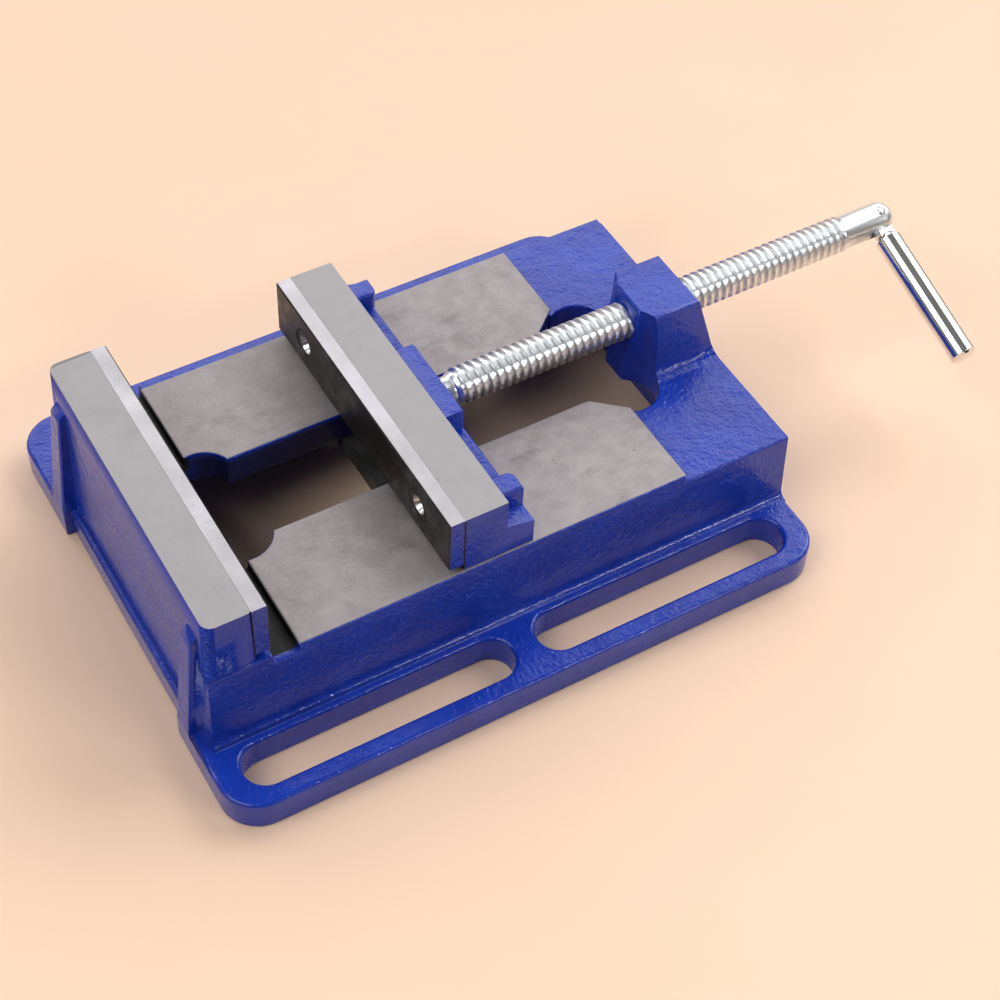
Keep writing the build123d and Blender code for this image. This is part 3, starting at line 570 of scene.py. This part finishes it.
# ---------------------------------------------------------------------------------------------
# Handle: a chromed round bar whose flat eye turns on a pin riveted through the fork. It folds
# from one side of the screw, past its end, to the other.
# ---------------------------------------------------------------------------------------------
PIVOT = Vector((0.1572, 0.0, 0.0456))
TILT = math.radians(17.5)
BAR_RADIUS = 0.004
BAR_START = 0.0059
BAR_END = 0.0506
COLLAR = 0.0016
TIP_CHAMFER = 0.0008
EYE_HALF = 0.002
NECK_THINNING = 0.98
PIN_RADIUS = 0.0015
PIN_HALF = 0.00535
PIN_DOME = 0.0007
CHROME = (0.84, 0.84, 0.83, 1)
CHROME_WARM = (0.74, 0.74, 0.73, 1)


def chrome_plate():
    """Polished chrome with the faint draw lines of the bar under it."""
    material, tree, shader, place = new_material("Chrome_plate", roughness=0.06, metallic=1.0)
    haze = placed(tree, clouds, place, Scale=120.0)
    put(tree, blend(tree, haze, CHROME_WARM, CHROME), shader.inputs["Base Color"])
    put(tree, remap(tree, haze, 0.0, 1.0, to_low=0.11, to_high=0.05), shader.inputs["Roughness"])
    bump(tree, shader, noise(tree, place, 350.0, detail=2.0), distance=0.00001)
    return material


along_screw = Vector((1, 0, 0))
along_bar = Vector((0, -math.cos(TILT), -math.sin(TILT)))
along_pin = Vector((0, -math.sin(TILT), math.cos(TILT)))
turn_bar = Matrix((along_screw, -along_pin, along_bar)).transposed().to_4x4()
turn_pin = Matrix((along_screw, along_bar, along_pin)).transposed().to_4x4()
set_bar = Matrix.Translation(PIVOT) @ turn_bar
set_pin = Matrix.Translation(PIVOT) @ turn_pin

bar = bmesh.new()
turned_bar(
    bar,
    (
        (0, BAR_START),
        (BAR_RADIUS - COLLAR, BAR_START),
        (BAR_RADIUS, BAR_START + COLLAR),
        (BAR_RADIUS, BAR_END - TIP_CHAMFER),
        (BAR_RADIUS - TIP_CHAMFER, BAR_END),
        (0, BAR_END),
    ),
)
bar.transform(set_bar)
eye = bmesh.new()
bmesh.ops.create_circle(eye, cap_ends=True, radius=BAR_RADIUS, segments=48)
raised = bmesh.ops.extrude_face_region(eye, geom=list(eye.faces))["geom"]
raised = [corner for corner in raised if isinstance(corner, bmesh.types.BMVert)]
bmesh.ops.translate(eye, vec=(0, 0, 2 * EYE_HALF), verts=raised)
bmesh.ops.translate(eye, vec=(0, 0, -EYE_HALF), verts=eye.verts)
neck_half = BAR_RADIUS - COLLAR
neck_middle = Matrix.Translation((0, BAR_START / 2 + COLLAR / 2, 0))
neck_size = Matrix.Diagonal((2 * neck_half, BAR_START + COLLAR, 2 * EYE_HALF * NECK_THINNING, 1))
bmesh.ops.create_cube(eye, size=1.0, matrix=neck_middle @ neck_size)
bmesh.ops.recalc_face_normals(eye, faces=eye.faces)
eye.transform(set_pin)
eye_mesh = bpy.data.meshes.new("eye")
eye.to_mesh(eye_mesh)
eye.free()
bar.from_mesh(eye_mesh)
handle = as_object(bar, "folding_handle")
handle.data.materials.append(chrome_plate())
soften(handle, SCREW_EDGE, angle=30, segments=2)
fit(handle, "handle", "handle_rod")

pin = bmesh.new()
turned_bar(
    pin,
    (
        (0, -PIN_HALF),
        (PIN_RADIUS - PIN_DOME, -PIN_HALF),
        (PIN_RADIUS, -PIN_HALF + PIN_DOME),
        (PIN_RADIUS, PIN_HALF - PIN_DOME),
        (PIN_RADIUS - PIN_DOME, PIN_HALF),
        (0, PIN_HALF),
    ),
    steps=32,
)
pin.transform(set_pin)
rivet = as_object(pin, "pivot_rivet")
rivet.data.materials.append(zinc)
soften(rivet, 2 * SCREW_EDGE, angle=30, segments=3)
fit(rivet, "screw", "handle_pin")

# ---------------------------------------------------------------------------------------------
# Studio: a plain pale floor, with a broad soft lamp over each end of the vise and a thin one in front
# for the bright lines along the enamelled edges. A bright band of window stands behind, towards the
# handle, and the room is dark in front.
# ---------------------------------------------------------------------------------------------
FLOOR_TONE = (0.87, 0.62, 0.455, 1)
FLOOR_DEEP = (0.85, 0.60, 0.435, 1)
FLOOR_GAP = 0.0001
LAMP_AIM = Vector((0, 0, 0.03))
WINDOW_SIDE = (0.5, 0.87, 0.0)
WINDOW_END = (0.25, 0.55)
WINDOW_SILL = (0.2, 0.45)
WINDOW_TOP = (0.77, 0.82)
WINDOW_BRIGHT = 2.3
ROOM_TINT = (1.0, 0.985, 0.97, 1)
ROOM_FRONT_TO_BACK = (-0.7, 0.1)
ROOM_DIM = 0.24
ROOM_DARK = 0.06
floor_shape = bmesh.new()
bmesh.ops.create_grid(floor_shape, x_segments=1, y_segments=1, size=3.0)
bmesh.ops.translate(floor_shape, vec=(0, 0, -FLOOR_GAP), verts=floor_shape.verts)
floor = as_object(floor_shape, "floor")
floor_finish, tree, shader, place = new_material("Pale_floor", roughness=0.6)
patches = placed(tree, clouds, place, Scale=6.0)
put(tree, blend(tree, patches, FLOOR_DEEP, FLOOR_TONE), shader.inputs["Base Color"])
floor.data.materials.append(floor_finish)


def softbox(name, at, width, height, power):
    """A soft lamp that faces the vise."""
    lamp = bpy.data.lights.new(name, "AREA")
    lamp.shape = "RECTANGLE"
    lamp.size = width
    lamp.size_y = height
    lamp.energy = power
    holder = bpy.data.objects.new(name, lamp)
    holder.location = at
    holder.rotation_euler = (LAMP_AIM - Vector(at)).to_track_quat("-Z", "Y").to_euler()
    bpy.context.scene.collection.objects.link(holder)


softbox("key", at=(1.15, 0.0, 1.10), width=1.0, height=1.0, power=9.5)
softbox("left_fill", at=(-0.95, -0.15, 1.15), width=1.0, height=1.0, power=10.0)
softbox("edge_lamp", at=(0.50, -1.0, 0.70), width=0.5, height=0.07, power=3.8)

world = bpy.data.worlds.new("Room")
world.use_nodes = True
room = world.node_tree
toward = room.nodes.new("ShaderNodeTexCoord").outputs["Generated"]
facing = room.nodes.new("ShaderNodeVectorMath")
facing.operation = "DOT_PRODUCT"
facing.inputs[1].default_value = WINDOW_SIDE
put(room, toward, facing.inputs[0])
axes = room.nodes.new("ShaderNodeSeparateXYZ")
put(room, toward, axes.inputs[0])
above_sill = remap(room, axes.outputs["Z"], *WINDOW_SILL)
below_top = remap(room, axes.outputs["Z"], *WINDOW_TOP, to_low=1.0, to_high=0.0)
window = remap(room, facing.outputs["Value"], *WINDOW_END)
window = maths(room, "MULTIPLY", above_sill, window)
window = maths(room, "MULTIPLY", below_top, window)
walls = remap(room, axes.outputs["Y"], *ROOM_FRONT_TO_BACK, to_low=ROOM_DARK, to_high=ROOM_DIM)
light = maths(room, "ADD", maths(room, "MULTIPLY", window, WINDOW_BRIGHT), walls)
put(room, light, room.nodes["Background"].inputs["Strength"])
room.nodes["Background"].inputs["Color"].default_value = ROOM_TINT
bpy.context.scene.world = world
bpy.context.scene.view_settings.view_transform = "Standard"

# ---------------------------------------------------------------------------------------------
# Camera: looks down on the near side of the vise from the fixed jaw's end.
# ---------------------------------------------------------------------------------------------
AZIMUTH = math.radians(-32.584)
ELEVATION = math.radians(50.367)
ROLL = math.radians(-3.194)
LOOK_AT = Vector((0.0103, -0.03, 0.03))
DISTANCE = 0.5525
FOCAL_LENGTH = 72.86
SENSOR_WIDTH = 36
NEAR_CLIP = 0.01
ahead = Vector((
    -math.sin(AZIMUTH) * math.cos(ELEVATION),
    math.cos(AZIMUTH) * math.cos(ELEVATION),
    -math.sin(ELEVATION),
))
level = Vector((math.cos(AZIMUTH), math.sin(AZIMUTH), 0))
below = ahead.cross(level)
right = math.cos(ROLL) * level + math.sin(ROLL) * below
down = math.cos(ROLL) * below - math.sin(ROLL) * level
optics = bpy.data.cameras.new("camera")
optics.lens = FOCAL_LENGTH
optics.sensor_width = SENSOR_WIDTH
optics.clip_start = NEAR_CLIP
camera = bpy.data.objects.new("camera", optics)
camera_turn = Matrix((right, -down, -ahead)).transposed().to_4x4()
camera.matrix_world = Matrix.Translation(LOOK_AT - ahead * DISTANCE) @ camera_turn
bpy.context.scene.collection.objects.link(camera)
bpy.context.scene.camera = camera
